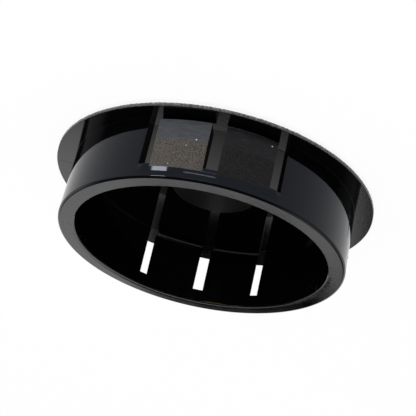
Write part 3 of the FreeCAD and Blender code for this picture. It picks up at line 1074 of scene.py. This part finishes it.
def makeWorld():
    s = studioValues
    world = bpy.data.worlds.new("studioWorld")
    bpy.context.scene.world = world
    world.use_nodes = True
    nodes, links = world.node_tree.nodes, world.node_tree.links
    nodes.clear()

    def times(first, second):
        return addNode(nodes, links, "MULTIPLY", first, second)

    def difference(first, second):
        return addNode(nodes, links, "SUBTRACT", first, second)

    place = nodes.new("ShaderNodeTexCoord")
    parts = nodes.new("ShaderNodeSeparateXYZ")
    links.new(place.outputs["Generated"], parts.inputs["Vector"])
    turn = times(addNode(nodes, links, "ARCTAN2", parts.outputs["X"], parts.outputs["Y"]), 180 / math.pi)
    rise = times(addNode(nodes, links, "ARCSINE", parts.outputs["Z"]), 180 / math.pi)
    lean = difference(addNode(nodes, links, "MINIMUM", rise, s["gapLeanTo"]), s["gapLeanFrom"])
    slope = addNode(nodes, links, "MINIMUM", difference(turn, s["gapSlopeFrom"]), 0.0)
    measures = {
        "turn": turn,
        "rise": rise,
        "leaning": difference(turn, times(lean, s["gapLean"])),
        "sloping": difference(rise, times(slope, s["gapSlope"])),
    }

    def level(steps):
        result = None
        for measure, start, end, first, last in steps:
            part = stepped(nodes, links, measures[measure], start, end, first, last)
            result = part if result is None else times(result, part)
        return result

    sky = stepped(nodes, links, rise, *s["whiteUpTo"], 1.0, s["ceiling"])
    for steps in s["panels"].values():
        sky = addNode(nodes, links, "MAXIMUM", sky, level(steps))
    surround = colourMix(nodes, links, level(s["gap"]), sky, s["gapColour"])

    # camera, gloss and glass see the surround, and dull surfaces get a plain even light
    seen = seenDirectly(nodes, links)
    shown = colourMix(nodes, links, seen, (1.0, 1.0, 1.0, 1), surround)
    background = nodes.new("ShaderNodeBackground")
    links.new(shown, background.inputs["Color"])
    links.new(mapped(nodes, links, seen, 0.0, 1.0, s["diffuseWorld"], 1.0), background.inputs["Strength"])
    output = nodes.new("ShaderNodeOutputWorld")
    links.new(background.outputs["Background"], output.inputs["Surface"])


# Soft lamps: turn from -Y towards +X and rise above the floor in degrees, lengths in metres
lampValues = [
    {"name": "keyLamp", "turn": 38.3, "rise": 5.5, "away": 0.40, "width": 0.075, "height": 0.10,
     "power": 0.60, "colour": (1.0, 0.93, 0.86), "mirrored": True},
    {"name": "stripLamp", "turn": 9.5, "rise": 3.2, "away": 0.50, "width": 0.20, "height": 0.036,
     "power": 0.14, "colour": (1.0, 0.95, 0.90), "mirrored": True},
    {"name": "topLamp", "turn": 0.0, "rise": 88.0, "away": 0.7, "width": 0.5, "height": 0.5,
     "power": 3.0, "colour": (1.0, 0.99, 0.97), "mirrored": False},
]


def makeLamps():
    for values in lampValues:
        data = bpy.data.lights.new(values["name"], "AREA")
        data.shape = "RECTANGLE"
        data.size = values["width"]
        data.size_y = values["height"]
        data.energy = values["power"]
        data.color = values["colour"]
        lamp = bpy.data.objects.new(values["name"], data)
        turn, rise = math.radians(values["turn"] - 90), math.radians(values["rise"])
        way = Vector((math.cos(turn) * math.cos(rise), math.sin(turn) * math.cos(rise), math.sin(rise)))
        lamp.location = way * values["away"]
        lamp.rotation_euler = way.to_track_quat("Z", "Y").to_euler()
        lamp.visible_glossy = values["mirrored"]
        bpy.context.scene.collection.objects.link(lamp)


# The camera looks down into the open end, turned over so that the flange is at the top of the picture
cameraValues = {
    "turn": -3.03,
    "rise": 27.04,
    "roll": 193.0,
    "distance": 0.2736,
    "lens": 133.55,
    "pointLevel": 0.0007,
    "aimAcross": -0.001108,
    "aimUp": -0.003312,
}


def makeCamera():
    c = cameraValues
    turn, rise, roll = (math.radians(c[key]) for key in ("turn", "rise", "roll"))
    back = Vector((math.sin(turn) * math.cos(rise), -math.cos(turn) * math.cos(rise), math.sin(rise)))
    side = Vector((math.cos(turn), math.sin(turn), 0))
    up = back.cross(side)
    rolledSide = side * math.cos(roll) + up * math.sin(roll)
    rolledUp = up * math.cos(roll) - side * math.sin(roll)
    point = Vector((0, 0, c["pointLevel"]))
    eye = point + back * c["distance"]
    aim = point + rolledSide * c["aimAcross"] + rolledUp * c["aimUp"]
    lookBack = (eye - aim).normalized()
    finalSide = rolledUp.cross(lookBack).normalized()
    finalUp = lookBack.cross(finalSide)
    turnMatrix = Matrix((finalSide, finalUp, lookBack)).transposed()
    data = bpy.data.cameras.new("photoCamera")
    data.sensor_width = 36
    data.lens = c["lens"]
    data.clip_start = 0.005
    camera = bpy.data.objects.new("photoCamera", data)
    camera.matrix_world = Matrix.Translation(eye) @ turnMatrix.to_4x4()
    bpy.context.scene.collection.objects.link(camera)
    bpy.context.scene.camera = camera


makeFloor()
makeWorld()
makeLamps()
makeCamera()
bpy.context.scene.view_settings.view_transform = "Standard"
print("studio made")
